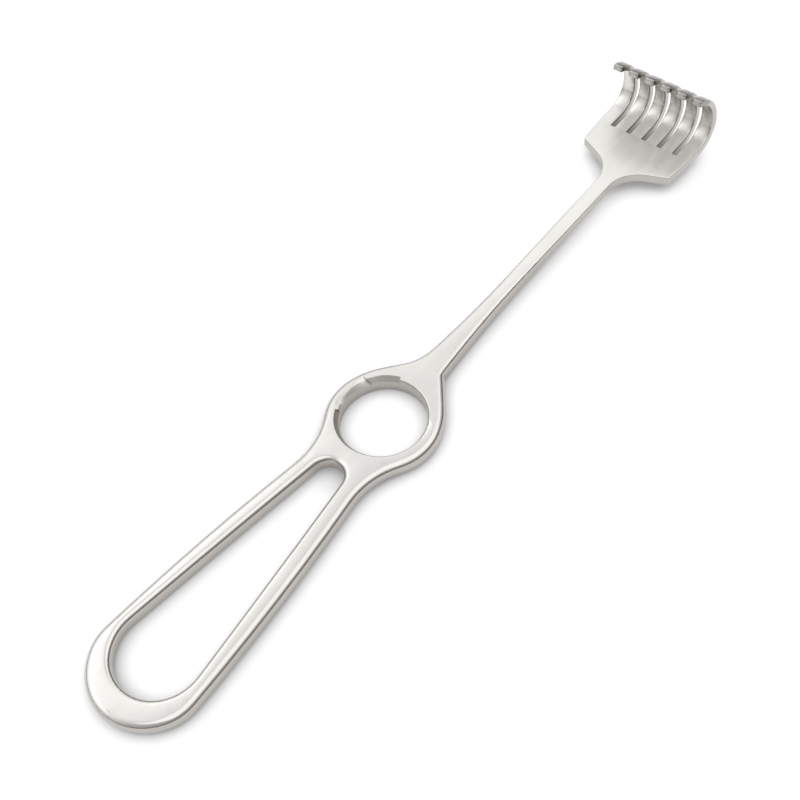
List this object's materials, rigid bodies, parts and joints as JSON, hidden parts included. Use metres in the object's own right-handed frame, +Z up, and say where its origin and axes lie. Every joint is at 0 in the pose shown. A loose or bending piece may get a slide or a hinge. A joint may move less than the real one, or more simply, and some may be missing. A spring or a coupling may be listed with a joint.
{
  "type": "rake retractor",
  "caption": "Hand-held steel rake retractor: long looped handle, finger ring, slim shank and a flat fan blade whose blunt prongs bend up and back.",
  "frame": {"origin": "middle of the footprint, on the level underside of the handle", "axes": "+Y from the looped handle towards the prongs, +Z up, the way the prongs point, +X to the right when looking along +Y"},
  "size_m": [0.03, 0.2204, 0.0232],
  "materials": {
    "steel": "fine satin, bead blasted and polished along the ground corners"
  },
  "bodies": {
    "root": {"retractor": "steel"}
  },
  "joints": []
}
